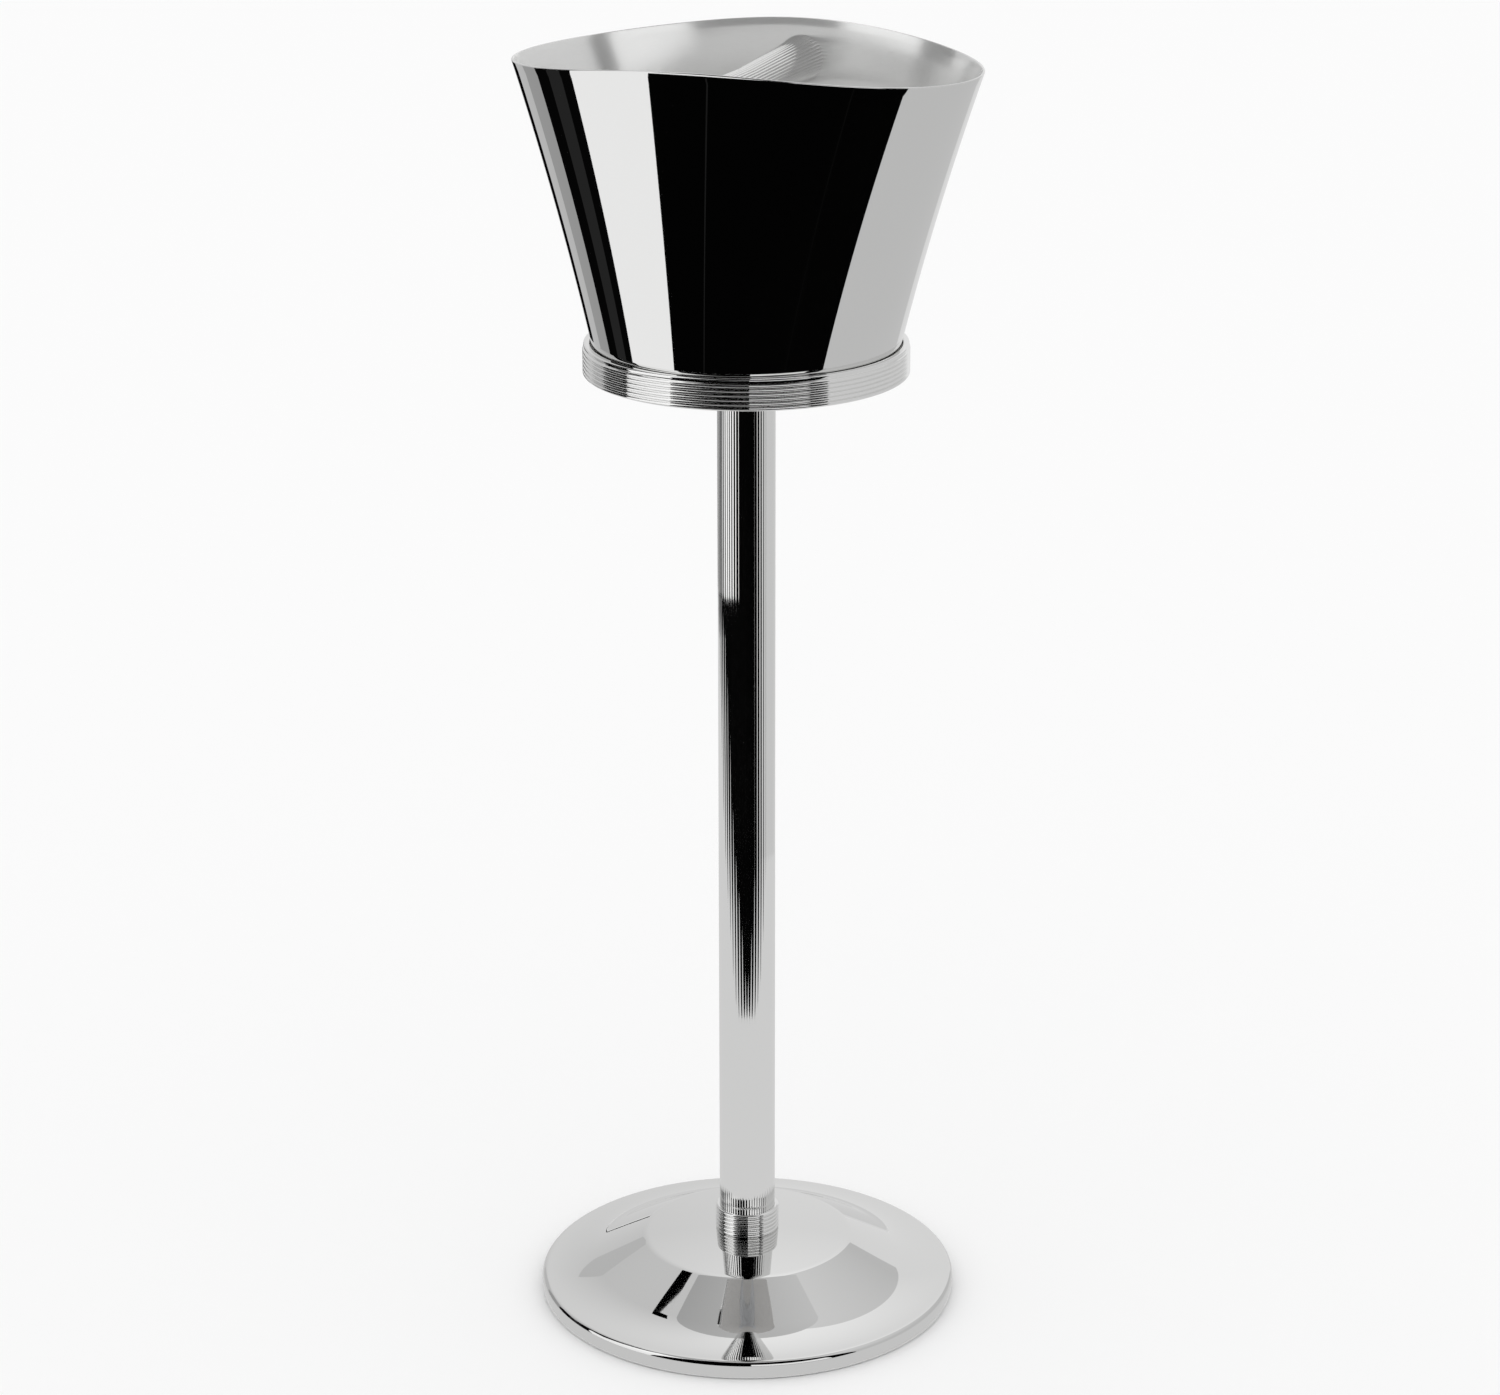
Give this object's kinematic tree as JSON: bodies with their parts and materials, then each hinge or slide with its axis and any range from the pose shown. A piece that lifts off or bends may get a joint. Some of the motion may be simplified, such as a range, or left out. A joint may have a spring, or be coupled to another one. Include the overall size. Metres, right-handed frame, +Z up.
{
  "type": "champagne bucket stand",
  "caption": "Floor-standing wine bucket on a reeded column with a domed round base, a ribbed gallery ring and a lift-out oval-mouthed bucket with a cross handle.",
  "frame": {"origin": "centre of the felt's underside, where the stand rests on the floor", "axes": "+Z up along the column; +X along the long axis of the bucket's oval mouth; +Y along the carry handle"},
  "size_m": [0.29, 0.2698, 0.8173],
  "materials": {
    "mirror_plate": "mirror-polished silver plate",
    "satin_steel": "satin stainless steel",
    "zinc_steel": "zinc-plated mild steel",
    "aluminium": "turned aluminium",
    "cast_iron": "painted grey iron casting",
    "black_felt": "pressed wool felt"
  },
  "bodies": {
    "stand": {"base_shell": "mirror_plate", "base_felt": "black_felt", "base_cover_plate": "zinc_steel", "base_ballast": "cast_iron", "base_cover_screws": "zinc_steel", "column_tube": "mirror_plate", "column_lower_plug": "aluminium", "column_upper_plug": "aluminium", "tie_rod": "zinc_steel", "base_washer": "zinc_steel", "base_spring_washer": "zinc_steel", "base_nut": "zinc_steel", "ribbed_collar": "mirror_plate", "ribbed_ring": "mirror_plate", "tray_flange": "zinc_steel", "tray_plate": "satin_steel", "tray_centre_bolt": "zinc_steel", "tray_screws": "zinc_steel", "tray_felt": "black_felt"},
    "bucket": {"bucket_shell": "mirror_plate", "carry_handle": "mirror_plate", "handle_plug_front": "zinc_steel", "handle_plug_rear": "zinc_steel"}
  },
  "joints": [
    {"name": "bucket_lift", "type": "slide", "parent": "stand", "child": "bucket", "axis": [0, 0, 1], "range_m": [0, 0.2]}
  ]
}
